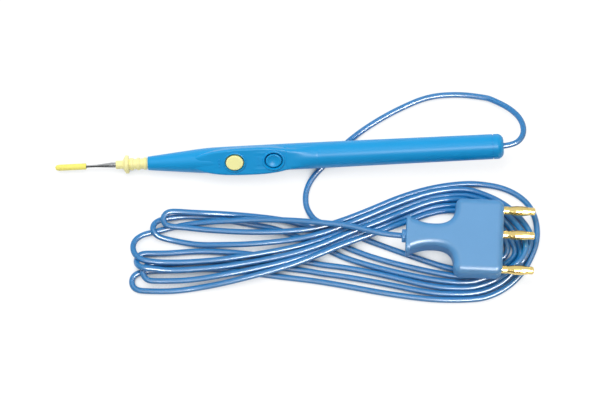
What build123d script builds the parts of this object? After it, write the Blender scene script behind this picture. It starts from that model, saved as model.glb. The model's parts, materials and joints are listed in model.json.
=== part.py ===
from build123d import *
from math import radians, tan
import os

# Electrosurgical pencil with blade electrode, lead and three-pin plug, in millimetres.
# The pencil is drawn along +X from its nose, with the buttons on +Z, and is then laid down.
# In the finished frame it lies along X with its tip at -X, above the floor at z = 0.

os.makedirs("parts", exist_ok=True)

# Handle
nose_radius = 3.05
nose_edge = 0.5
cone_length = 27.0
shoulder_radius = 5.75
shoulder_blend = 120.0
belly_at = 68.0
belly_radius = 5.9
handle_length = 154.2
rear_radius = 5.6
bore_start = 27.0
bore_radius = 4.3
fit = 0.05
cut_overrun = 20.0

# Switch deck and its wells
deck_start = 19.0
deck_end = 68.5
deck_half_width = 6.2
deck_height = 6.1
deck_foot = 1.2
deck_edge = 1.0
deck_section_shares = [
    (0.00, 0.28, 0.705), (0.07, 0.53, 0.81), (0.17, 0.76, 0.905), (0.29, 0.91, 0.985), (0.42, 0.985, 1.0),
    (0.57, 1.0, 1.0), (0.72, 0.965, 1.0), (0.83, 0.85, 0.995), (0.91, 0.68, 0.965), (0.96, 0.5, 0.91),
    (1.0, 0.3, 0.82),
]
bay_start = 30.0
bay_end = 66.0
bay_half_width = 4.4
bay_height = 4.5
rim_height = 0.5
rim_edge = 0.35
rim_bevel = 0.4
rim_bevel_depth = 0.7
travel = 0.6
foot_gap = 0.3
foot_thickness = 0.8
foot_margin = 0.65
nub_radius = 1.1
button_edge = 0.45

# Cut button
cut_at = 39.2
cut_button_x = 3.85
cut_button_y = 3.3
cut_well_gap = 0.3
cut_rim_width = 0.95
cut_proud = 0.75

# Coagulation button
coag_at = 56.6
coag_button_x = 3.55
coag_button_y = 3.0
coag_well_gap = 0.4
coag_rim_width = 1.1
coag_proud = 0.1
coag_dish_radius = 6.0
coag_dish_depth = 0.62

# Raised touch marks beside the wells
mark_radius = 0.35
mark_height = 0.2
mark_pitch = 1.5
mark_rows = 3
mark_offset = 7.0

# Switch board, snap domes and the posts that carry them
board_start = 31.0
board_length = 34.0
board_half_width = 3.4
board_top = 1.6
board_thickness = 0.8
dome_radius = 2.5
dome_height = 0.5
dome_edge = 0.35
post_inner = 1.3
post_outer = 3.2
post_length = 1.2
post_count = 4

# Electrode socket in the nose
spigot_depth = 3.5
spigot_radius = 1.6
socket_radius = 1.9
socket_length = 21.0
socket_end_wall = 1.5
running_fit = 0.03

# Electrode and its collar
shank_radius = 1.2
collar_length = 14.3
shank_free = 2.2
blade_taper_length = 8.5
blade_end = 39.5
blade_height = 1.9
blade_thickness = 0.7
hub_radius = 1.88
hub_length = 3.1
flange_radius = 4.1
flange_front = 9.9
flange_back = 8.5
flange_edge = 0.35
neck_radius = 2.35
neck_rib_radius = 2.8
neck_rib_width = 1.5
neck_rib_edge = 0.4
neck_rib_count = 3
neck_rib_pitch = 3.0
neck_rib_last = 1.2

# Tip protector
tip_start = 41.6
tip_length = 13.9
tip_radius = 1.4
tip_bore_radius = 1.05
tip_nose_length = 3.0
tip_end_wall = 1.9
tip_mouth_edge = 0.12

# End cap and cord grip
groove_width = 0.4
groove_depth = 0.35
cap_band = 2.1
cap_dome_length = 2.4
cap_dome_mid_share = 0.7
cap_face_radius = 2.3
cap_spigot_length = 4.7
cap_spigot_wall = 1.2
grip_length = 4.0
grip_waist = 0.9
grip_waist_length = 1.6

# Cord and conductors
cord_diameter = 2.6
cord_root_length = 13.5
cord_start_inset = 2.6
wire_radius = 0.42
wire_spread = 0.62
wire_drop = 1.9
wire_bend = 12.0
wire_lug = 2.0

# Plug, drawn along X with its pin face at x = 0 and pins towards +X
plug_side = 3.5
plug_thickness = 14.0
plug_body_length = 21.5
plug_total_length = 43.0
plug_edge = 3.0
plug_corner = 3.1
plug_shoulder_run = 3.8
plug_flange_width = 16.5
plug_flange_thickness = 1.9
plug_flange_edge = 0.6
neck_width = 10.2
neck_at = 31.0
neck_root_width = 15.0
pin_gap_small = 11.11
pin_gap_large = 15.875
pin_root_radius = 1.85
pin_core_radius = 1.15
pin_length = 14.1
pin_collar_length = 2.2
pin_tip_length = 2.2
pin_tip_radius = 1.75
pin_tip_edge = 0.9
pin_embed = 8.0
cage_radius = 2.2
cage_end_radius = 1.7
cage_wall = 0.35
cage_crest = 3.0
cage_slots = 4
cage_slot_width = 0.5
cage_slot_margin = 1.2
cord_collar_radius = 2.95
cord_collar_length = 1.8
cord_collar_edge = 0.4
cord_collar_depth = 3.0
cord_collar_spigot = 2.1

# How the pencil and the plug lie
roll_angle = 30.0
nose_down_angle = 2.9
plug_turn = -4.5
plug_face_x = 97.8
plug_face_y = -41.3
plug_lift = 2.95

# Figure-eight hank: its outline, its windows and the heap where the strands cross
hank_outline = [
    (9, -56), (26, -58.9), (45, -62.8), (65, -66.8), (80, -67.2), (92, -64.8), (102, -59.8),
    (110, -51.6), (114.6, -42), (115.2, -31.5), (112, -23), (105, -17), (96, -13.4), (84, -11.6),
    (70, -12.2), (54, -16.6), (40, -22.2), (26, -28.0), (12, -28.6), (4, -24.6), (-14, -23.0),
    (-32, -21.8), (-44, -21.3), (-52, -22.8), (-58, -26.6), (-62.5, -31), (-67.5, -35.5),
    (-69.2, -41), (-67.8, -46), (-70.4, -51.5), (-67, -57), (-58, -59.2), (-44, -59.4),
    (-30, -57.9), (-14, -55), (0, -52.6),
]
hank_windows = [
    [(50, -35.5), (58, -30.2), (72, -27), (84, -26.3), (94, -28.6), (99, -35), (98.2, -43),
     (92, -49.2), (80, -51), (65, -47.2), (50, -41)],
    [(-53.5, -30.4), (-48, -29.5), (-36.5, -32.2), (-20, -33.9), (-10, -35.0), (-20, -36.3),
     (-36.5, -35.7), (-48, -33.8)],
    [(-59.5, -34.6), (-50, -37.4), (-43, -39.4), (-50, -41.2), (-60, -41.4), (-64.4, -38.5)],
]
heap_edge = 0.85
hank_heap = [
    (-8, -31.4), (4, -30.7), (22, -29.0), (38, -23.6), (49, -19.2), (50.5, -25), (49, -32),
    (38, -39.6), (22, -47.6), (4, -50.4), (-8, -52.2), (-11, -42),
]

# Free stretches of the cord, after the run that leaves the end cap
lead_run = 4.8
lead_route = [
    (109.6, 6.2, 11.2), (109.2, 14, 7.8), (104.3, 20.8, 4.2), (96.5, 25.9, 1.9), (86, 28.9, 1.3),
    (73, 29.0, 1.3), (59, 25.2, 1.3), (45, 17.6, 1.3), (32.5, 8.6, 1.3), (22, -1.2, 1.3),
    (13.4, -10, 1.3), (11.6, -19, 1.3), (14, -28, 1.3),
]
plug_route = [
    (-21, -26.5, 2.3), (-9, -27.0, 4.6), (4, -28.1, 6.7), (18, -30.1, 7.3), (31, -32.6, 8.0),
]
plug_run = 7.5


def axis_face(points):
    """Face in the XZ plane from (along, radius) points, closed along the axis."""
    return make_face(Plane.XZ * Polyline(*points, close=True))


def turned(points):
    """Solid of revolution about X from (along, radius) points."""
    return revolve(axis_face(points), axis=Axis.X)


def rod(start, end, radius):
    """Round bar along X."""
    return Plane.YZ.offset(start) * extrude_circle(radius, end - start)


def extrude_circle(radius, length):
    """Round bar that rises from the origin along the local Z axis."""
    return extrude(Circle(radius), amount=length)


def oval(x_place, half_x, half_y, low, high):
    """Upright oval prism centred over the pencil's axis."""
    return Pos(x_place, 0, low) * extrude(Ellipse(half_x, half_y), amount=high - low)


def bar(x_low, x_high, y_low, y_high, z_low, z_high):
    """Box between two corners."""
    size_x = x_high - x_low
    size_y = y_high - y_low
    size_z = z_high - z_low
    centre = ((x_low + x_high) / 2, (y_low + y_high) / 2, (z_low + z_high) / 2)
    return Pos(*centre) * Box(size_x, size_y, size_z)


def bend_radii(points, closed):
    """Arc for each corner: 0.45 of its shorter run over the tangent of half its turn."""
    count = len(points)
    places = [Vector(*point) for point in points]
    corners = range(count) if closed else range(1, count - 1)
    radii = []
    for index in corners:
        here = places[index]
        before = here - places[index - 1]
        after = places[(index + 1) % count] - here
        half_turn = radians(before.get_angle(after)) / 2
        radii.append(0.45 * min(before.length, after.length) / tan(half_turn))
    return radii


def tube(points, radius, radii):
    """Round tube along straight runs joined by tangent arcs, and its path."""
    path = FilletPolyline(*points, radius=radii)
    start = Plane(origin=path @ 0, z_dir=path % 0)
    return sweep(start * Circle(radius), path=path), path


def outer_profile():
    """Half outline of the handle's round body."""
    corners = [
        (0, 0), (0, nose_radius), (cone_length, shoulder_radius), (belly_at, belly_radius),
        (handle_length, rear_radius), (handle_length, 0),
    ]
    face = axis_face(corners)
    for at, height, blend in (
        (0, nose_radius, nose_edge),
        (cone_length, shoulder_radius, shoulder_blend),
    ):
        corner = face.vertices().sort_by_distance((at, 0, height))[0]
        face = fillet(corner, radius=blend)
    return face


def deck_solid():
    """Switch deck: rounded sections lofted along the handle, scooped down into it at both ends."""
    sections = []
    for along, width, height in deck_section_shares:
        at = deck_start + along * (deck_end - deck_start)
        top = deck_height * height
        section = RectangleRounded(deck_half_width * width * 2, top - deck_foot, deck_edge)
        sections.append(Pos(at, 0, (top + deck_foot) / 2) * Rot(Z=90) * Rot(X=90) * section)
    return loft(sections)


def handle_outer():
    """Whole outside of the handle: round body, deck and the raised well rims."""
    body = revolve(outer_profile(), axis=Axis.X) + deck_solid()
    for at, half_x, half_y, gap, width in (
        (cut_at, cut_button_x, cut_button_y, cut_well_gap, cut_rim_width),
        (coag_at, coag_button_x, coag_button_y, coag_well_gap, coag_rim_width),
    ):
        reach = gap + width
        rim = oval(at, half_x + reach, half_y + reach, bay_height, deck_height + rim_height)
        body += fillet(rim.edges().group_by(Axis.Z)[-1], radius=rim_edge)
    return body + touch_marks()


def touch_marks():
    """Rows of small raised dots before each well, to be felt through a glove."""
    marks = []
    for at in (cut_at, coag_at):
        for row in range(mark_rows):
            across = (row - (mark_rows - 1) / 2) * mark_pitch
            dot = Cylinder(mark_radius, mark_height * 2)
            marks.append(Pos(at - mark_offset, across, deck_height) * dot)
    return marks


def well_mouth(at, half_x, half_y):
    """Flared mouth of a well, from its bore out through the raised rim."""
    top = deck_height + rim_height
    slope = rim_bevel / rim_bevel_depth
    inside = Pos(at, 0, top - rim_bevel_depth) * Ellipse(half_x, half_y)
    wide = rim_bevel + rim_bevel_depth * slope
    outside = Pos(at, 0, top + rim_bevel_depth) * Ellipse(half_x + wide, half_y + wide)
    return loft([inside, outside])


def handle_hollow():
    """Everything inside the handle: nose bore, long bore, switch bay and both wells."""
    hollow = rod(-cut_overrun, spigot_depth, spigot_radius + fit)
    hollow += rod(spigot_depth, bore_start, socket_radius)
    hollow += rod(bore_start, handle_length + cut_overrun, bore_radius)
    hollow += bar(bay_start, bay_end, -bay_half_width, bay_half_width, 0, bay_height)
    for at, half_x, half_y, gap in (
        (cut_at, cut_button_x, cut_button_y, cut_well_gap),
        (coag_at, coag_button_x, coag_button_y, coag_well_gap),
    ):
        hollow += oval(at, half_x + gap, half_y + gap, 0, deck_height + cut_overrun)
        hollow += well_mouth(at, half_x + gap, half_y + gap)
    return hollow


def board_posts():
    """Pairs of posts in the lower half that carry the switch board."""
    posts = []
    step = (board_length - post_length) / (post_count - 1)
    floor = -(bore_radius ** 2 - post_outer ** 2) ** 0.5 - (shoulder_radius - bore_radius) / 2
    for index in range(post_count):
        low = board_start + index * step
        for side in (-1, 1):
            inner = side * post_inner
            outer = side * post_outer
            top = board_top - board_thickness
            posts.append(bar(low, low + post_length, min(inner, outer), max(inner, outer), floor, top))
    return posts


def handle_halves():
    """The two mouldings of the handle, parted on the plane through its axis."""
    shell = handle_outer() - handle_hollow()
    above = bar(-cut_overrun, handle_length + cut_overrun, -cut_overrun, cut_overrun, 0, cut_overrun)
    upper = shell & above
    lower = shell - above + board_posts()
    return upper, lower


def press_button(at, half_x, half_y, proud):
    """Oval button with a foot that keeps it in the handle and a nub over its dome."""
    top = deck_height + rim_height + proud
    foot_top = bay_height - foot_gap
    foot_low = foot_top - foot_thickness
    nub_low = board_top + dome_height + travel + foot_gap / 2
    cap = oval(at, half_x, half_y, foot_low, top)
    cap = fillet(cap.edges().group_by(Axis.Z)[-1], radius=button_edge)
    foot = oval(at, half_x + foot_margin, half_y + foot_margin, foot_low, foot_top)
    nub = Pos(at, 0, nub_low) * extrude_circle(nub_radius, foot_low - nub_low)
    return cap + foot + nub


def coag_button():
    """Coagulation button with a finger dish sunk in its top."""
    button = press_button(coag_at, coag_button_x, coag_button_y, coag_proud)
    top = deck_height + rim_height + coag_proud
    ball = Pos(coag_at, 0, top + coag_dish_radius - coag_dish_depth) * Sphere(coag_dish_radius)
    return button - ball


def snap_dome(at):
    """Pressed metal dome that clicks under a button."""
    dome = Pos(at, 0, board_top) * extrude_circle(dome_radius, dome_height)
    return fillet(dome.edges().group_by(Axis.Z)[-1], radius=dome_edge)


def switch_board():
    """Printed board under both buttons."""
    return bar(
        board_start, board_start + board_length, -board_half_width, board_half_width,
        board_top - board_thickness, board_top,
    )


def electrode_socket():
    """Brass tube in the nose that grips the electrode's shank."""
    end = spigot_depth + socket_length
    tube_body = rod(spigot_depth, end, socket_radius)
    return tube_body - rod(spigot_depth, end - socket_end_wall, shank_radius + running_fit)


def electrode_blade():
    """Steel electrode: round shank that flattens into a thin blade with a round end."""
    taper_start = -(collar_length + shank_free)
    taper_end = taper_start - blade_taper_length
    shank_end = spigot_depth + socket_length - socket_end_wall - foot_gap
    shank = rod(taper_start, shank_end, shank_radius)
    flat = Plane.YZ.offset(taper_end) * Rectangle(blade_thickness, blade_height)
    taper = loft([Plane.YZ.offset(taper_start) * Circle(shank_radius), flat])
    tip_centre = -blade_end + blade_height / 2
    outline = Pos((tip_centre + taper_end) / 2, 0) * Rectangle(taper_end - tip_centre, blade_height)
    outline += Pos(tip_centre, 0) * Circle(blade_height / 2)
    blade = extrude(Plane.XZ * outline, amount=blade_thickness / 2, both=True)
    return shank + taper + blade


def electrode_collar():
    """Insulating collar: hub, thin flange with a coned front, and a ribbed neck."""
    hub_front = -collar_length
    face = [
        (hub_front, shank_radius), (hub_front, hub_radius), (hub_front + hub_length, hub_radius),
        (-flange_front, flange_radius), (-flange_back, flange_radius), (-flange_back, neck_radius),
        (0, neck_radius), (0, spigot_radius), (spigot_depth, spigot_radius), (spigot_depth, shank_radius),
    ]
    collar = turned(face)
    for index in range(neck_rib_count):
        middle = -neck_rib_last - index * neck_rib_pitch
        ring = rod(middle - neck_rib_width / 2, middle + neck_rib_width / 2, neck_rib_radius)
        ring = fillet(ring.edges().filter_by(GeomType.CIRCLE), radius=neck_rib_edge)
        collar += ring - rod(-collar_length, spigot_depth, shank_radius)
    rounds = collar.edges().filter_by(GeomType.CIRCLE)
    rims = [edge for edge in rounds if abs(edge.radius - flange_radius) < fit]
    return fillet(rims, radius=flange_edge)


def tip_protector():
    """Soft tube with a round closed end that covers the blade's tip."""
    low = -tip_start
    high = low + tip_length
    nose = Spline((low, 0), (low + tip_nose_length, tip_radius), tangents=[(0, 1), (1, 0)])
    sides = Polyline((low, 0), (high, 0), (high, tip_radius), (low + tip_nose_length, tip_radius))
    outside = revolve(make_face(Plane.XZ * Curve([nose, sides])), axis=Axis.X)
    bored = outside - rod(low + tip_end_wall, high + cut_overrun, tip_bore_radius)
    mouth = bored.edges().group_by(Axis.X)[-1]
    return fillet(mouth, radius=tip_mouth_edge)


def end_cap():
    """Turned cap: spigot in the bore, groove, short band and a domed back with the cord's hole."""
    start = handle_length
    band_start = start + groove_width
    band_end = band_start + cap_band
    end = band_end + cap_dome_length
    cord_radius = cord_diameter / 2
    mid = (
        band_end + cap_dome_length * cap_dome_mid_share,
        cap_face_radius + (rear_radius - cap_face_radius) * cap_dome_mid_share,
    )
    spigot = bore_radius - fit
    steps = Polyline(
        (band_end, rear_radius), (band_start, rear_radius), (band_start, rear_radius - groove_depth),
        (start, rear_radius - groove_depth), (start, spigot), (start - cap_spigot_length, spigot),
        (start - cap_spigot_length, spigot - cap_spigot_wall), (start, spigot - cap_spigot_wall),
        (start, cord_radius), (end, cord_radius), (end, cap_face_radius),
    )
    dome = ThreePointArc((end, cap_face_radius), mid, (band_end, rear_radius))
    return revolve(make_face(Plane.XZ * Curve([steps, dome])), axis=Axis.X)


def cord_grip():
    """Crimped sleeve that stops the cord from being pulled out of the handle."""
    end = handle_length - cap_spigot_length
    start = end - grip_length
    middle = (start + end) / 2
    sleeve = rod(start, end, bore_radius - fit)
    waist = rod(middle - grip_waist_length / 2, middle + grip_waist_length / 2, bore_radius)
    waist -= rod(middle - grip_waist_length / 2, middle + grip_waist_length / 2, bore_radius - grip_waist)
    return sleeve - waist - rod(start, end, cord_diameter / 2)


def cord_exit():
    """Distance along the pencil at which the cord leaves the end cap."""
    return handle_length + groove_width + cap_band + cap_dome_length


def cord_root():
    """The cord's held end inside the handle."""
    end = cord_exit() - cord_start_inset
    return rod(end - cord_root_length, end, cord_diameter / 2)


def conductors():
    """Two switch wires to the board's back edge and the active wire to the socket."""
    cord_end = cord_exit() - cord_start_inset - cord_root_length
    board_end = board_start + board_length
    level = board_top - board_thickness / 2
    socket_end = spigot_depth + socket_length
    wires = {}
    for name, side in (("cut_wire", 1), ("coag_wire", -1)):
        across = side * board_half_width / 2
        points = [
            (board_end, across, level), (board_end + wire_bend, across, level),
            (cord_end - wire_bend, side * wire_spread, wire_spread), (cord_end, side * wire_spread, wire_spread / 2),
        ]
        wires[name] = tube(points, wire_radius, [wire_bend, wire_bend])[0]
    points = [
        (socket_end, 0, 0), (socket_end + wire_lug, 0, 0), (socket_end + wire_bend, 0, -wire_drop),
        (cord_end - wire_bend, 0, -wire_drop), (cord_end, 0, -wire_spread),
    ]
    wires["active_wire"] = tube(points, wire_radius, [wire_lug, wire_bend, wire_bend])[0]
    return wires


def plug_half_width():
    """Half of the plug's width: from its middle to an outer pin, and on to the side."""
    return pin_places()[0] + plug_side


def plug_outline():
    """Half outline of the plug's body, from the neck's root to the pin face."""
    side = plug_half_width()
    shoulder = side - plug_shoulder_run
    back = -plug_body_length
    root = -(plug_total_length - plug_flange_thickness)
    upper = [
        Line((root, 0), (root, neck_root_width / 2)),
        Spline(
            (root, neck_root_width / 2), (-neck_at, neck_width / 2), (back, shoulder),
            tangents=[(1, -0.45), (0, 1)],
        ),
        Line((back, shoulder), (back, side)),
        Line((back, side), (0, side)),
        Line((0, side), (0, 0)),
        Line((0, 0), (root, 0)),
    ]
    return make_face(upper)


def plug_body():
    """Plug moulding: wide body, waisted neck and a thin flange, bored for pins and cord."""
    half = plug_outline()
    outline = half + mirror(half, about=Plane.XZ)
    corners = [v for v in outline.vertices() if abs(abs(v.Y) - plug_half_width()) < fit]
    outline = fillet(corners, radius=plug_corner)
    body = extrude(outline, amount=plug_thickness / 2, both=True)
    rims = [edge for edge in body.edges() if abs(abs(edge.center().Z) - plug_thickness / 2) < fit]
    keep = [edge for edge in rims if -plug_total_length + plug_flange_thickness + fit < edge.center().X < -fit]
    body = fillet(keep, radius=plug_edge)
    flange = bar(
        -plug_total_length, -plug_total_length + plug_flange_thickness,
        -plug_flange_width / 2, plug_flange_width / 2, -plug_thickness / 2, plug_thickness / 2,
    )
    flange = fillet(flange.edges().filter_by(Axis.X), radius=plug_edge)
    body += fillet(flange.edges().group_by(Axis.X)[0], radius=plug_flange_edge)
    for across in pin_places():
        body -= Pos(0, across, 0) * rod(-pin_embed, cut_overrun, pin_root_radius)
    back = -plug_total_length
    return body - rod(back, back + cord_collar_depth, cord_collar_spigot)


def pin_places():
    """Where the pins stand across the plug: the pair that is close together comes first."""
    first = (pin_gap_small + pin_gap_large) / 2
    return [first, first - pin_gap_small, -first]


def contact_pin():
    """Turned contact pin: embedded root, collar, thin core for the cage and a rounded head."""
    head_start = pin_length - pin_tip_length
    shape = rod(-pin_embed, pin_collar_length, pin_root_radius)
    shape += rod(0, head_start, pin_core_radius)
    head = rod(head_start, pin_length, pin_tip_radius)
    return shape + fillet(head.edges().group_by(Axis.X)[-1], radius=pin_tip_edge)


def spring_cage():
    """Lantern spring: a thin sleeve bulged in the middle and slit into leaves."""
    start = pin_collar_length
    end = pin_length - pin_tip_length
    middle = (start + end) / 2
    crest = cage_crest / 2
    outer = [
        (start, cage_end_radius), (middle - crest, cage_radius), (middle + crest, cage_radius),
        (end, cage_end_radius),
    ]
    inner = [(x, radius - cage_wall) for x, radius in reversed(outer)]
    cage = turned(outer + inner)
    for index in range(cage_slots):
        slot = bar(
            start + cage_slot_margin, end - cage_slot_margin, -cage_slot_width / 2, cage_slot_width / 2,
            0, cut_overrun,
        )
        cage -= Rot(X=(index + 0.5) * 360 / cage_slots) * slot
    return cage


def cord_collar():
    """Grommet ring that guides the cord into the back of the plug."""
    back = -plug_total_length
    ring = rod(back - cord_collar_length, back, cord_collar_radius)
    ring = fillet(ring.edges().group_by(Axis.X)[0], radius=cord_collar_edge)
    ring += rod(back, back + cord_collar_depth, cord_collar_spigot)
    return ring - rod(back - cord_collar_length, back + cord_collar_depth, cord_diameter / 2)


def loop_face(points):
    """Face inside a closed run of points with arcs at the corners."""
    return make_face(FilletPolyline(*points, radius=bend_radii(points, True), close=True))


def hank_solid():
    """Outer shape of the figure-eight hank: one flat ring of strands with a heap at the crossing."""
    flat = loop_face(hank_outline)
    for window in hank_windows:
        flat -= loop_face(window)
    base = extrude(flat, amount=cord_diameter)
    heap = extrude(loop_face(hank_heap), amount=cord_diameter * 2)
    tops = heap.edges().group_by(Axis.Z)[-1]
    return base + fillet(tops, radius=heap_edge)


def pencil_pieces():
    """All pieces of the pencil in its own frame."""
    upper, lower = handle_halves()
    pieces = {
        "handle_upper": upper,
        "handle_lower": lower,
        "end_cap": end_cap(),
        "cord_grip": cord_grip(),
        "cord_root": cord_root(),
        "cut_button": press_button(cut_at, cut_button_x, cut_button_y, cut_proud),
        "coag_button": coag_button(),
        "cut_dome": snap_dome(cut_at),
        "coag_dome": snap_dome(coag_at),
        "switch_board": switch_board(),
        "electrode_socket": electrode_socket(),
        "electrode_blade": electrode_blade(),
        "electrode_collar": electrode_collar(),
        "tip_protector": tip_protector(),
    }
    pieces.update(conductors())
    return pieces


def plug_pieces():
    """All pieces of the plug in its own frame."""
    pieces = {"plug_body": plug_body(), "cord_collar": cord_collar()}
    for index, across in enumerate(pin_places()):
        number = index + 1
        pieces[f"pin_{number}"] = Pos(0, across, 0) * contact_pin()
        pieces[f"spring_cage_{number}"] = Pos(0, across, 0) * spring_cage()
    return pieces


def pencil_place(pieces):
    """Lay the pencil down: rolled, nose down, lowest point on the floor, centred over the origin."""
    lie = Rot(Y=-nose_down_angle) * Rot(X=roll_angle)
    box = Compound(children=[lie * shape for shape in pieces.values()]).bounding_box()
    return Pos(-box.center().X, -box.center().Y, -box.min.Z) * lie


def main():
    pencil = pencil_pieces()
    place = pencil_place(pencil)
    solids = {name: place * shape for name, shape in pencil.items()}
    plug_place = Pos(plug_face_x, plug_face_y, plug_lift + plug_thickness / 2) * Rot(Z=plug_turn)
    for name, shape in plug_pieces().items():
        solids[name] = plug_place * shape
    solids["cord_hank"] = hank_solid()
    radius = cord_diameter / 2
    exit_at = cord_exit()
    lead_points = [
        (place * Pos(along, 0, 0)).position for along in (exit_at - cord_start_inset, exit_at + lead_run)
    ]
    lead_points += [Vector(*point) for point in lead_route]
    plug_back = -plug_total_length - cord_collar_length
    plug_inside = -plug_total_length + cord_collar_depth
    plug_points = [Vector(*point) for point in plug_route]
    plug_points += [(plug_place * Pos(along, 0, 0)).position for along in (plug_back - plug_run, plug_inside)]
    for name, points in (("lead_cord", lead_points), ("plug_cord", plug_points)):
        radii = bend_radii([tuple(point) for point in points], False)
        solids[name], path = tube(points, radius, radii)
        section = Circle(radius).area
        print(name, "radii", [round(value, 1) for value in radii])
        print(name, "volume", round(solids[name].volume, 1), "section x length", round(section * path.length, 1))
    for name, shape in solids.items():
        export_step(shape, f"parts/{name}.step")
    print("button axis", (place * Pos(0, 0, 1)).position - place.position)
    print("pencil axis", (place * Pos(1, 0, 0)).position - place.position)
    print("nose", place.position, "exit", lead_points[0], lead_points[1])


main()
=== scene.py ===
import json
import math

import bmesh
import bpy
from mathutils import Matrix, Vector


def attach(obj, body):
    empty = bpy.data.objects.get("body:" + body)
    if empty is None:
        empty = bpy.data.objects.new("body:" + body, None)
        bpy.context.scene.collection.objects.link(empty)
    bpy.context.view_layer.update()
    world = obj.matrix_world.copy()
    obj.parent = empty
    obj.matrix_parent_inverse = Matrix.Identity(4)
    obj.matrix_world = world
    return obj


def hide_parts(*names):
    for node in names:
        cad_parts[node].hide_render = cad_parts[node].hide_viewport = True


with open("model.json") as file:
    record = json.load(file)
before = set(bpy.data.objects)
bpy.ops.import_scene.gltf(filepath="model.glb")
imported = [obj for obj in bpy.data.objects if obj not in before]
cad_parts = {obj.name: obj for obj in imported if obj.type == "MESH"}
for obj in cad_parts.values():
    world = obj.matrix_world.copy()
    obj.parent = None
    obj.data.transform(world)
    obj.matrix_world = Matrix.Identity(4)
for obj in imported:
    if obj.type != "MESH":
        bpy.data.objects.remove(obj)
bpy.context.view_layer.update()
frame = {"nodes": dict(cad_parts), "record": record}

nodes = frame["nodes"]
mm = 0.001
print("frame loaded:", len(nodes), "nodes")

# The photograph is taken from high in front, through a long lens, and the pencil isn't quite level.
view = {
    "elevation": 75.0,  # degrees above the floor
    "turn": 2.08,  # degrees between the photograph's level and the pencil
    "target": (8.7, -17.1, 0.0),  # millimetres, what stands in the middle of the frame
    "distance": 1.6,
    "frameWidth": 0.2685,  # metres of floor across the photograph
}

photo = {"width": 600, "middle": (300, 200)}  # pixels

lights = {
    "key": {"size": (0.8, 0.8), "power": 13.6, "from": (-0.2, 0.35, 1.3), "mirrored": False},
    "strip": {"size": (1.0, 0.5), "power": 92.0, "from": (0.5, -0.73, 1.1), "mirrored": True},
    "sheen": {"size": (0.55, 0.4), "power": 10.5, "from": (0.24, -0.42, 1.5), "mirrored": True},
    "world": 0.45,
    "backdrop": (0.8, 0.8, 0.8, 1),  # the colour of the mirrored room
    "dimFrom": (-0.45, -0.1),  # where the mirrored room turns from dim to white, along the view
    "mirror": (0.04, 1.0),  # how bright it is there, dim and white
}


def viewAngles():
    return math.radians(view["turn"]), math.radians(view["elevation"])


def cameraAxes():
    turn, lift = viewAngles()
    right = Vector((math.cos(turn), -math.sin(turn), 0))
    away = Vector((math.sin(turn), math.cos(turn), 0))
    forward = away * math.cos(lift) - Vector((0, 0, 1)) * math.sin(lift)
    return right, right.cross(forward), forward


def makeCamera():
    right, up, forward = cameraAxes()
    data = bpy.data.cameras.new("camera")
    data.lens = data.sensor_width * view["distance"] / view["frameWidth"]
    camera = bpy.data.objects.new("camera", data)
    bpy.context.scene.collection.objects.link(camera)
    place = Vector(view["target"]) * mm - forward * view["distance"]
    turned = Matrix((right, up, -forward)).transposed().to_4x4()
    camera.matrix_world = Matrix.Translation(place) @ turned
    bpy.context.scene.camera = camera


def makeLamp(name):
    lamp = lights[name]
    data = bpy.data.lights.new(name, "AREA")
    data.shape = "RECTANGLE"
    data.size, data.size_y = lamp["size"]
    data.energy = lamp["power"]
    made = bpy.data.objects.new(name, data)
    bpy.context.scene.collection.objects.link(made)
    made.location = lamp["from"]
    # the key only lights, and the strip and the sheen only show as bright lines along gloss
    made.visible_glossy = lamp["mirrored"]
    made.visible_diffuse = not lamp["mirrored"]
    made.rotation_mode = "QUATERNION"
    made.rotation_quaternion = (-Vector(lamp["from"])).to_track_quat("-Z", "Y")
    return made


makeCamera()
lamps = {lampName: makeLamp(lampName) for lampName in ("key", "strip", "sheen")}
print("camera and lamps made")

# The cord: one limp lead from the end cap to the plug, wound into a loose figure eight.
cordSizes = {
    "diameter": 0.0026,  # metres, as the next two are
    "length": 2.43,
    "exit": (0.10015, 0.00109, 0.01264),  # where it leaves the end cap
    "roundness": 5,
    "steps": 8,  # from one station to the next
}
# The cord's stations: the pixel of the photograph that its middle passes, and the
# middle's height in millimetres where it doesn't lie on the floor. Where strands touched, 56 stations
# were then moved a little, nearly all in height alone, to rounded values from a script that pushed the
# strands apart.
leadStart = [  # millimetres: out of the end cap and down to the floor
    (97.5, 1.1, 12.5), (104.9, 1.1, 12.9), (109.8, 6.4, 11.2), (109.4, 14.2, 7.8), (104.5, 21, 4.2),
    (96.7, 26.1, 1.9),
]
leadRoute = [  # round to the far side and back under the pencil
    (486.5, 96.8), (460, 93.4), (429, 95.6), (399, 108.5), (372, 123.6), (348.5, 140.6), (328, 161),
    (311.8, 178), (305.8, 191), (305.4, 204), (309, 213), (316.5, 222),
]
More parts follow.
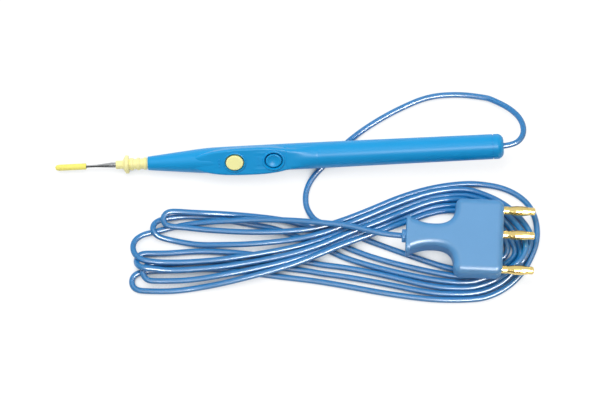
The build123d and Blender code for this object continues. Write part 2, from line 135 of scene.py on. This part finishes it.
# Six turns of the figure eight, each from the crossing round its right loop and then its left one.
turnRoutes = [
    [
        (342, 228.5), (362, 238.5), (388, 247.8), (430, 262.8), (458, 270.2), (472, 268.6), (485.5, 264.5),
        (498, 260.5), (506.6, 253.2), (506.4, 243.6), (501.1, 236.2), (493.5, 229.5), (484, 222.8),
        (474, 217.4), (464, 212.8), (452.1, 209.8), (432, 212.4, 1.5), (400, 223.8, 2.8),
        (370.1, 234.5, 4.8), (344.9, 243.2, 5.9), (320, 253.6, 5.4), (290, 265.4, 4.6), (250, 276.2, 3.9),
        (220, 283.5, 2.6), (200, 287.2), (184, 289.6), (168, 290.8), (152, 290.6), (138.3, 289.9),
        (133.1, 284.8), (133.1, 277.6), (138.3, 272.6), (150, 270.6), (164, 270.4), (180, 270.2),
        (196, 269), (214, 268.4), (234, 270), (258, 273.6), (282, 276.6), (305, 279.2),
    ],
    [
        (320, 281.2), (345, 285.4), (385, 292.9), (430, 299), (462, 299.3), (484, 297.5), (503, 289),
        (519, 275.5), (530, 258), (536.5, 240.5), (536.2, 222), (530, 206.5), (519, 195.8), (503, 188),
        (484, 184.4), (464, 183.4), (432, 187.6, 1.5), (400, 197, 1.5), (370, 209.8, 2.8),
        (345, 219.5, 3.9), (320, 227.6, 3.9), (290, 231.4, 3.9), (250, 232.3, 3.9), (220, 230.7, 3.4),
        (200, 229.2, 3.4), (184, 227.2, 3.9), (168.5, 226.2, 4.4), (164, 222, 4.8), (164, 216, 5),
        (168.5, 211.6, 4.8), (178, 211.4, 4.2), (190, 212.4, 3.9), (208, 213.2, 4), (227.9, 214.2, 1.9),
        (253, 216.2), (279, 219.2), (298, 223.2), (318, 231),
    ],
    [
        (334, 241), (350, 249.5), (385, 261.2), (430, 271.6), (460, 276.6), (476, 274.6), (490.7, 269.3),
        (504.4, 264), (513.9, 256.1), (514, 246.5), (508.3, 236.5), (500.6, 227.4), (491, 219.8),
        (480, 213), (469, 208), (456, 204.5), (432, 206.4, 1.5), (400, 218.9), (370.1, 230.1, 3.4),
        (345, 239.4, 4.3), (320.1, 250.1, 3.6), (290, 260.4, 3.9), (250, 269.5, 3.9), (220, 275.1, 3.9),
        (200, 278.4, 3.2), (184, 280, 3), (168, 280.4, 3), (158, 280.4, 3.2), (149.1, 280, 3.4),
        (144.3, 275, 3.8), (144.3, 268, 4), (149, 264.2, 2.3), (160, 263.6), (173, 263.4), (190, 261.6),
        (210, 260.6), (232, 261.4), (255, 263.8), (280, 267.4), (308, 270.6),
    ],
    [
        (320, 272.9), (345, 276.2), (385, 283.3), (430, 292.6), (462, 293.6), (482, 291.3), (500, 283.3),
        (514, 270.3, 2.1), (523.8, 256.6, 3.9), (529.6, 243.6, 3.3), (529.2, 231.5, 3), (521, 219.5),
        (510, 208.5), (497, 200), (482, 193.6), (464, 188.3, 2.4), (431.9, 191.5, 3), (399.9, 202.3, 3.4),
        (370, 215, 4.5), (345.1, 224.8, 5.6), (320, 234, 5.4), (290, 240.4, 3.9), (250, 244, 3.9),
        (220, 244.7, 2.6), (200, 244.8), (184, 242.6), (171, 240, 1.6), (158.8, 236.7, 3),
        (153.7, 231.4, 4.2), (153.6, 225, 3.7), (158.7, 220.4, 2.6), (170, 217.8, 1.8), (182, 216.6),
        (194, 216.4), (208, 217.4), (228, 220.4), (250, 224.2), (280, 229.4), (312, 243),
    ],
    [
        (333, 252.5), (346, 258.4), (385, 269.6), (430, 279.2), (462, 282.6), (478, 280.2), (494, 273.8),
        (509.2, 267.7), (519.7, 258), (519.6, 246.5), (514.6, 234.4), (507, 223.6), (497, 214.8),
        (486, 208), (474, 202.8), (459.9, 198.3, 2.5), (432, 200.5, 3), (400.1, 213.3, 3.4),
        (369.9, 225, 5.2), (345, 234.3, 6.3), (319.9, 245.1, 5.9), (290.1, 254.3, 4.9), (250, 262.2, 3.9),
        (220, 266.8, 3.9), (200, 268.4, 3.9), (184, 269.6, 4), (168, 269.8, 4), (155.1, 268.3, 5.4),
        (142.3, 266.8, 6.8), (137.6, 263.6, 3.8), (137.6, 257.9, 1.7), (142.3, 253.2, 1.6), (155, 253.2),
        (171, 253), (190, 251.4), (210, 251), (230, 252), (253, 254.2), (285, 258.8), (312, 262.6),
    ],
    [
        (322, 264.6), (345, 267.1), (385, 274.8), (430, 286), (462, 288.2), (479.9, 285.5, 1.5),
        (497.1, 278.4, 1.5), (511.1, 265.6, 7.5), (521.7, 256.6, 6.3), (524.6, 245.6, 5.7), (522, 233, 3.6),
        (514, 221.5, 2.2), (504, 211.5), (491, 203.5), (478, 198), (462, 194), (432, 196.8, 1.5),
        (400, 208.2, 1.5), (370, 220.6, 2.8), (345.1, 230.2, 4), (320, 240.2, 3.9), (290, 248.2, 3.9),
        (250, 255, 3.9), (220, 259.4, 3.9), (199.9, 261, 3.7), (184.1, 261.9, 3.8), (166, 262, 3.8),
        (153, 261.2, 4.4), (141.5, 259.1, 5), (134.1, 251.9, 4.4), (134, 241.8, 3), (141.7, 235.1, 2),
        (153, 232.2, 1.4), (164, 229.6), (176, 226.8),
    ],
]
plugRoute = [  # up over the crossing to the plug
    (190, 224, 2), (208, 222, 3.4), (228, 220.8, 4.6), (252, 219.6, 5.4), (278, 219.6, 6.6),
    (302, 220.8, 7.8), (326, 222.8, 8.8), (350, 225.2, 9.5),
]
plugEnd = [(45.7, -37.2, 9.9), (57.9, -38.2, 9.9)]  # millimetres: in the cord collar


def onPhoto(across, down, height=cordSizes["diameter"] / 2 / mm):
    # the point, in millimetres, that the photograph shows at a pixel and that stands at a height
    turn, lift = viewAngles()
    scale = photo["width"] * mm / view["frameWidth"]
    right = (across - photo["middle"][0]) / scale
    away = (photo["middle"][1] - down) / (scale * math.sin(lift)) - height / math.tan(lift)
    x = view["target"][0] + right * math.cos(turn) + away * math.sin(turn)
    y = view["target"][1] - right * math.sin(turn) + away * math.cos(turn)
    return x, y, height


plugNodes = ["plug_body", "cord_collar"]
for number in (1, 2, 3):
    plugNodes += [f"pin_{number}", f"spring_cage_{number}"]


def makeCord():
    stations = sum([leadRoute, *turnRoutes, plugRoute], [])
    points = leadStart + [onPhoto(*station) for station in stations] + plugEnd
    data = bpy.data.curves.new("cord", "CURVE")
    data.dimensions = "3D"
    data.bevel_depth = 1.0  # each point's radius is the cord's own
    data.bevel_resolution = cordSizes["roundness"]
    data.resolution_u = cordSizes["steps"]
    data.use_fill_caps = True
    spline = data.splines.new("NURBS")
    spline.points.add(len(points) - 1)
    for place, point in zip(spline.points, points):
        place.co = (*(value * mm for value in point), 1)
        place.radius = cordSizes["diameter"] / 2
    spline.order_u = 3
    spline.use_endpoint_u = True
    spline.use_smooth = True
    cord = bpy.data.objects.new("cord", data)
    bpy.context.scene.collection.objects.link(cord)
    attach(cord, "pencil")
    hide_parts("lead_cord", "cord_hank", "plug_cord")
    return cord


cord = makeCord()
print("cord laid:", cordSizes["length"], "m")


class Link:
    # an output socket that sums and products can be written with
    def __init__(self, shader, socket):
        self.shader = shader
        self.socket = socket

    def combine(self, operation, first, second):
        return self.shader.node("ShaderNodeMath", {"operation": operation}, {0: first, 1: second})

    def __add__(self, other):
        return self.combine("ADD", self, other)

    def __radd__(self, other):
        return self.combine("ADD", other, self)

    def __mul__(self, other):
        return self.combine("MULTIPLY", self, other)

    def __rmul__(self, other):
        return self.combine("MULTIPLY", other, self)

    def orMore(self, other):
        return self.combine("MAXIMUM", self, other)


class Shader:
    # the nodes of one material, or of the world
    def __init__(self, owner, coordinates="Object"):
        owner.use_nodes = True
        self.tree = owner.node_tree
        self.tree.nodes.clear()
        self.place = self.node("ShaderNodeTexCoord", output=coordinates)

    def node(self, kind, settings=None, inputs=None, output=0):
        made = self.tree.nodes.new(kind)
        for name, value in (settings or {}).items():
            if name == "stops":
                self.setStops(made.color_ramp, value)
            else:
                setattr(made, name, value)
        for name, value in (inputs or {}).items():
            if isinstance(value, Link):
                self.tree.links.new(value.socket, made.inputs[name])
            else:
                made.inputs[name].default_value = value
        return Link(self, made.outputs[output]) if made.outputs else None

    def setStops(self, ramp, stops):
        ramp.elements[0].position, ramp.elements[0].color = stops[0]
        ramp.elements[1].position, ramp.elements[1].color = stops[-1]
        for position, shade in stops[1:-1]:
            ramp.elements.new(position).color = shade

    def noise(self, scale, detail=2.0, roughness=0.55, place=None):
        return self.node("ShaderNodeTexNoise", {}, {
            "Vector": place or self.place, "Scale": scale, "Detail": detail, "Roughness": roughness,
        })

    def mixColours(self, mask, first, second, blend="MIX"):
        settings = {"data_type": "RGBA", "blend_type": blend}
        return self.node("ShaderNodeMix", settings, {0: mask, 6: first, 7: second}, output=2)

    def mixSurfaces(self, mask, first, second):
        return self.node("ShaderNodeMixShader", {}, {0: mask, 1: first, 2: second})

    def ramp(self, value, stops):
        return self.node("ShaderNodeValToRGB", {"stops": stops}, {0: value})

    def bump(self, height, look):
        return self.node("ShaderNodeBump", {}, {
            "Height": height, "Strength": look["relief"], "Distance": look["bumpHeight"],
        })

    def show(self, surface, output="ShaderNodeOutputMaterial"):
        self.node(output, {}, {"Surface": surface})

    def finish(self, **sockets):
        self.show(self.node("ShaderNodeBsdfPrincipled", {}, {
            name.replace("_", " "): value for name, value in sockets.items()
        }))


def colour(red, green, blue, gain=1.0):
    # a screen colour, 0 to 255, as the shader's linear one
    values = []
    for channel in (red, green, blue):
        share = min(channel * gain, 255) / 255
        values.append(share / 12.92 if share <= 0.04045 else ((share + 0.055) / 1.055) ** 2.4)
    return (*values, 1.0)


# The rear end of the switch deck, run out onto the round handle in one soft ramp. Lengths are in
# millimetres, and those along the handle are counted from its front end.
rampSizes = {
    "nose": (-58.7506, 1.08812, 4.58593),  # the middle of the handle's front end
    "noseDown": 2.9,  # degrees
    "roll": 30.0,  # degrees, how far the deck is turned about the handle
    "handle": [(27.0, 5.75), (68.0, 5.9), (154.2, 5.6)],  # distance along, radius
    "deckHalf": [  # distance along, half the deck's width
        (61.7, 4.97), (64.0, 4.74), (66.2, 4.6), (68.5, 4.75), (72.0, 5.2), (78.0, 5.8),
    ],
    "deckTop": [(61.7, 6.03), (66.2, 6.03), (78.0, 5.9)],  # distance along, height above the axis
    "boxiness": [  # distance along, how square the corners are, where 2 is round
        (61.7, 11.0), (64.0, 7.5), (66.2, 7.0), (68.5, 5.0), (71.0, 3.5), (74.0, 2.5), (78.0, 2.0),
    ],
    "from": 61.7,
    "flat": 64.5,  # as far as this the deck keeps its height, and then it sinks away
    "to": 78.0,
    "proud": 0.08,  # how far it stands out of the solids where they already have its shape
    "sunk": 0.15,  # how deep its rim lies under them
    "emerge": 0.9,  # how soon the ramp comes up out of the handle
    "vanish": 3.0,  # and how long before its end it goes down again
    "sides": (54, 68),  # degrees from the deck's middle, where the ramp goes under the handle
    "join": (0.001, 0.5),  # how far the deck's edges melt into the handle, at the start and further on
    "joinGrows": 5.0,  # the length over which that grows
    "rings": 64,
    "columns": 64,
    "thickness": 0.25,
}


def between(stops, value):
    for (low, first), (high, second) in zip(stops, stops[1:]):
        if value <= high:
            share = max(0.0, (value - low) / (high - low))
            return first + (second - first) * share
    return stops[-1][1]


def soften(share):
    share = min(max(share, 0.0), 1.0)
    return share * share * (3 - 2 * share)


def boxRadius(angle, half, top, power):
    # how far a box with soft corners reaches from the handle's axis at an angle
    across, upward = abs(math.sin(angle)) / half, abs(math.cos(angle)) / top
    return (across ** power + upward ** power) ** (-1 / power)


def softAbove(value, reach):
    # how far a value stands above 0, rounded off within the reach
    blend = max(reach - abs(value), 0) / reach
    return max(value, 0) + blend * blend * reach / 4


def rampRadius(along, angle):
    size = rampSizes
    handle = between(size["handle"], along)
    half, top, power = (between(size[name], along) for name in ("deckHalf", "deckTop", "boxiness"))
    start, flat, end = size["from"], size["flat"], size["to"]
    near, far = (math.radians(value) for value in size["sides"])
    least, more = size["join"]
    join = more * soften((along - start) / size["joinGrows"]) + least
    left = 1 - soften((along - flat) / (end - flat))
    shown = soften((along - start) / size["emerge"]) * soften((end - along) / size["vanish"])
    shown *= soften((far - abs(angle)) / (far - near))
    over = left * softAbove(boxRadius(angle, half, top, power) - handle, join)
    return handle + over + size["proud"] * shown - size["sunk"] * (1 - shown)


def makeRamp():
    size = rampSizes
    down, roll = math.radians(size["noseDown"]), math.radians(size["roll"])
    along = Vector((math.cos(down), 0, math.sin(down)))
    up = Vector((-math.sin(down) * math.cos(roll), -math.sin(roll), math.cos(down) * math.cos(roll)))
    across = up.cross(along)
    shape = bmesh.new()
    bmesh.ops.create_grid(shape, x_segments=size["rings"], y_segments=size["columns"], size=1)
    for corner in shape.verts:
        distance = size["from"] + (size["to"] - size["from"]) * (corner.co.x + 1) / 2
        angle = math.radians(size["sides"][1]) * corner.co.y
        outward = across * math.sin(angle) + up * math.cos(angle)
        place = Vector(size["nose"]) + along * distance + outward * rampRadius(distance, angle)
        corner.co = place * mm
    shape.normal_update()
    bmesh.ops.solidify(shape, geom=shape.faces[:], thickness=size["thickness"] * mm)
    for face in shape.faces:
        face.smooth = True
    mesh = bpy.data.meshes.new("deck_ramp")
    shape.to_mesh(mesh)
    shape.free()
    ramp = bpy.data.objects.new("deck_ramp", mesh)
    bpy.context.scene.collection.objects.link(ramp)
    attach(ramp, "pencil")
    return ramp


deckRamp = makeRamp()
print("deck ramp made:", len(deckRamp.data.polygons), "faces")

moulded = {  # what the plastics share, where their own lines don't say otherwise
    "rough": 0.4,
    "grain": 1500,  # noise scale of the moulded grain
    "grainDetail": (4.0, 0.6),  # detail and roughness of its noise
    "relief": 0.08,  # strength of its bumps
    "bumpHeight": 0.0001,  # metres
    "coat": 0.0,
    "coatRough": 0.12,
    "refraction": 1.48,
    "cloud": 55,  # noise scale of the slow shifts
    "ripple": 7,  # how many times coarser than the grain
    "toneShares": (0.7, 0.3),  # cloud, grain
    "glossShares": (0.10, 0.08),  # cloud, grain
    "reliefShares": (0.6, 0.4),  # grain, ripple
}
plastics = {
    "handle_blue": {"tone": (0, 153, 218), "spread": 0.03, "rough": 0.34, "grain": 2600},
    "button_yellow": {"tone": (255, 248, 172), "spread": 0.02, "rough": 0.36, "grain": 2600},
    "collar_yellow": {"tone": (255, 243, 172), "spread": 0.03, "rough": 0.32, "grain": 2400, "coat": 0.1},
    "tip_yellow": {"tone": (254, 238, 118), "spread": 0.04, "grain": 1800, "relief": 0.112},
    "plug_blue": {"tone": (83, 148, 201), "spread": 0.025, "rough": 0.42, "grain": 1100, "relief": 0.88},
    "cord_blue": {
        "tone": (22, 119, 182), "spread": 0.05, "rough": 0.46, "grain": 700, "relief": 0.024, "coat": 0.55,
    },
    "wire_red": {"tone": (190, 40, 36), "spread": 0.05},
    "wire_white": {"tone": (225, 225, 220), "spread": 0.03},
    "wire_black": {"tone": (30, 30, 32), "spread": 0.1},
    "board_green": {
        "tone": (34, 104, 62), "spread": 0.15, "rough": 0.35, "grain": 1200, "relief": 0.16, "coat": 0.2,
    },
}
turned = {  # what the metals share
    "cloud": (160, 3.0),  # scale and detail of the slow shifts
    "drawnOut": (1.0, 0.06, 0.06),  # makes lines across X of the noise
    "lineRoughness": 0.5,
    "relief": 0.10,
    "bumpHeight": 0.0001,  # metres
    "toneShares": (0.6, 0.4),  # cloud, lines
    "glossShares": (0.12, 0.08),  # cloud, lines
}
metals = {
    "pin_gold": {"tone": (248, 216, 142), "spread": 0.08, "rough": 0.22, "lines": 5200},
    "blade_steel": {"tone": (182, 184, 186), "spread": 0.06, "rough": 0.26, "lines": 4200},
    "socket_brass": {"tone": (206, 170, 92), "spread": 0.08, "rough": 0.3, "lines": 3600},
    "dome_steel": {"tone": (204, 206, 208), "spread": 0.04, "rough": 0.2, "lines": 3000},
}


def weigh(first, second, shares):
    return first * shares[0] + second * shares[1]


def toneOf(shader, look, cloud, fine):
    # the tone, spread from a darker to a lighter one
    darker, lighter = (colour(*look["tone"], gain=1 + side * look["spread"]) for side in (-1, 1))
    return shader.mixColours(weigh(cloud, fine, look["toneShares"]), darker, lighter)


def glossOf(look, cloud, fine):
    # roughness that shifts about the look's own, since both patterns have a half as their mean
    return weigh(cloud, fine, look["glossShares"]) + (look["rough"] - sum(look["glossShares"]) / 2)


def plasticMaterial(name):
    # moulded plastic: slow shifts of colour and gloss under a fine moulded grain
    look = {**moulded, **plastics[name]}
    material = bpy.data.materials.new(name)
    shader = Shader(material)
    cloud = shader.noise(look["cloud"])
    grain = shader.noise(look["grain"], *look["grainDetail"])
    ripple = shader.noise(look["grain"] / look["ripple"])
    shader.finish(
        Base_Color=toneOf(shader, look, cloud, grain), Roughness=glossOf(look, cloud, grain),
        Normal=shader.bump(weigh(grain, ripple, look["reliefShares"]), look),
        Coat_Weight=look["coat"], Coat_Roughness=look["coatRough"], IOR=look["refraction"],
    )
    return material


def metalMaterial(name):
    # turned or drawn metal: fine lines across the length, with cloudy gloss
    look = {**turned, **metals[name]}
    material = bpy.data.materials.new(name)
    shader = Shader(material)
    cloud = shader.noise(*look["cloud"])
    stretched = shader.node("ShaderNodeMapping", {}, {"Vector": shader.place, "Scale": look["drawnOut"]})
    lines = shader.noise(look["lines"], roughness=look["lineRoughness"], place=stretched)
    shader.finish(
        Base_Color=toneOf(shader, look, cloud, lines), Roughness=glossOf(look, cloud, lines),
        Normal=shader.bump(lines, look), Metallic=1.0,
    )
    return material


materials = {name: plasticMaterial(name) for name in plastics}
materials.update({name: metalMaterial(name) for name in metals})
print("materials made:", len(materials))


def paint(piece, material):
    if not piece.material_slots:
        piece.data.materials.append(material)
    for place in piece.material_slots:
        place.material = material


for subpart in frame["record"]["subparts"]:
    paint(nodes[subpart["node"]], materials[subpart["material_slot"]])
paint(cord, materials["cord_blue"])
paint(deckRamp, materials["handle_blue"])
print("nodes painted")

# the strip shines on the cord and the plug alone, and the pencil takes the weaker sheen
loosePieces = [cord] + [nodes[name] for name in plugNodes]
pencilPieces = [deckRamp] + [piece for name, piece in nodes.items() if name not in plugNodes]
for lampName, pieces in (("strip", loosePieces), ("sheen", pencilPieces)):
    lit = bpy.data.collections.new(lampName + "_lit")
    for piece in pieces:
        lit.objects.link(piece)
    lamps[lampName].light_linking.receiver_collection = lit
print("lamps flagged")

floorLook = {
    "size": 6.0,  # metres
    "tone": (246, 246, 247),
    "dull": 0.995,  # how bright its duller patches are
    "cloud": 9,
    "whiteShare": 0.8,  # how much of the paper the camera sees as plain white
    "glow": 1.1,
    "shadeReach": 0.009,  # metres, how near things paint shade onto it
    "shadeSamples": 16,
    "shades": [  # openness, colour of the painted shade
        (0.0, (0.0, 0.008, 0.03, 1)), (0.12, (0.02, 0.05, 0.1, 1)), (0.28, (0.4, 0.46, 0.52, 1)),
        (0.42, (0.82, 0.85, 0.88, 1)), (0.7, (0.97, 0.98, 0.99, 1)), (1.0, (1, 1, 1, 1)),
    ],
}


def paperMaterial():
    look = floorLook
    material = bpy.data.materials.new("floor_paper")
    shader = Shader(material)
    duller, tone = colour(*look["tone"], gain=look["dull"]), colour(*look["tone"])
    shade = shader.mixColours(shader.noise(look["cloud"]), duller, tone)
    # to the camera the open paper is pure white, and painted shade darkens it where the cord closes over it
    openness = shader.node(
        "ShaderNodeAmbientOcclusion", {"samples": look["shadeSamples"]}, {"Distance": look["shadeReach"]},
        output="AO",
    )
    shaded = shader.ramp(openness, look["shades"])
    seen = shader.node("ShaderNodeLightPath", output="Is Camera Ray")
    darkened = shader.mixColours(seen, shade, shaded, "MULTIPLY")
    paper = shader.node("ShaderNodeBsdfDiffuse", {}, {"Color": darkened})
    glow = shader.node("ShaderNodeEmission", {}, {"Color": shaded, "Strength": look["glow"]})
    shader.show(shader.mixSurfaces(seen * look["whiteShare"], paper, glow))
    return material


def makeFloor():
    mesh = bpy.data.meshes.new("floor")
    shape = bmesh.new()
    bmesh.ops.create_grid(shape, x_segments=1, y_segments=1, size=floorLook["size"] / 2)
    shape.to_mesh(mesh)
    shape.free()
    floor = bpy.data.objects.new("floor", mesh)
    bpy.context.scene.collection.objects.link(floor)
    paint(floor, paperMaterial())


def makeWorld():
    world = bpy.data.worlds.new("studio")
    bpy.context.scene.world = world
    shader = Shader(world, "Generated")
    room = shader.node("ShaderNodeBackground", {}, {"Color": (1, 1, 1, 1), "Strength": lights["world"]})
    # mirrored, the room is white above and behind, and dim on the camera's side
    (nearest, furthest), (dim, bright) = lights["dimFrom"], lights["mirror"]
    depth = shader.node("ShaderNodeSeparateXYZ", {}, {0: shader.place}, output="Y")
    fade = shader.node("ShaderNodeMapRange", {}, {
        "Value": depth, "From Min": nearest, "From Max": furthest, "To Min": dim, "To Max": bright,
    })
    seen = shader.node("ShaderNodeLightPath", output="Is Camera Ray")
    glossy = shader.node("ShaderNodeLightPath", output="Is Glossy Ray")
    backdrop = shader.node("ShaderNodeBackground", {}, {
        "Color": lights["backdrop"], "Strength": fade.orMore(seen),
    })
    shader.show(shader.mixSurfaces(seen.orMore(glossy), room, backdrop), "ShaderNodeOutputWorld")


makeFloor()
makeWorld()
bpy.context.scene.view_settings.view_transform = "Standard"
print("floor and studio made")
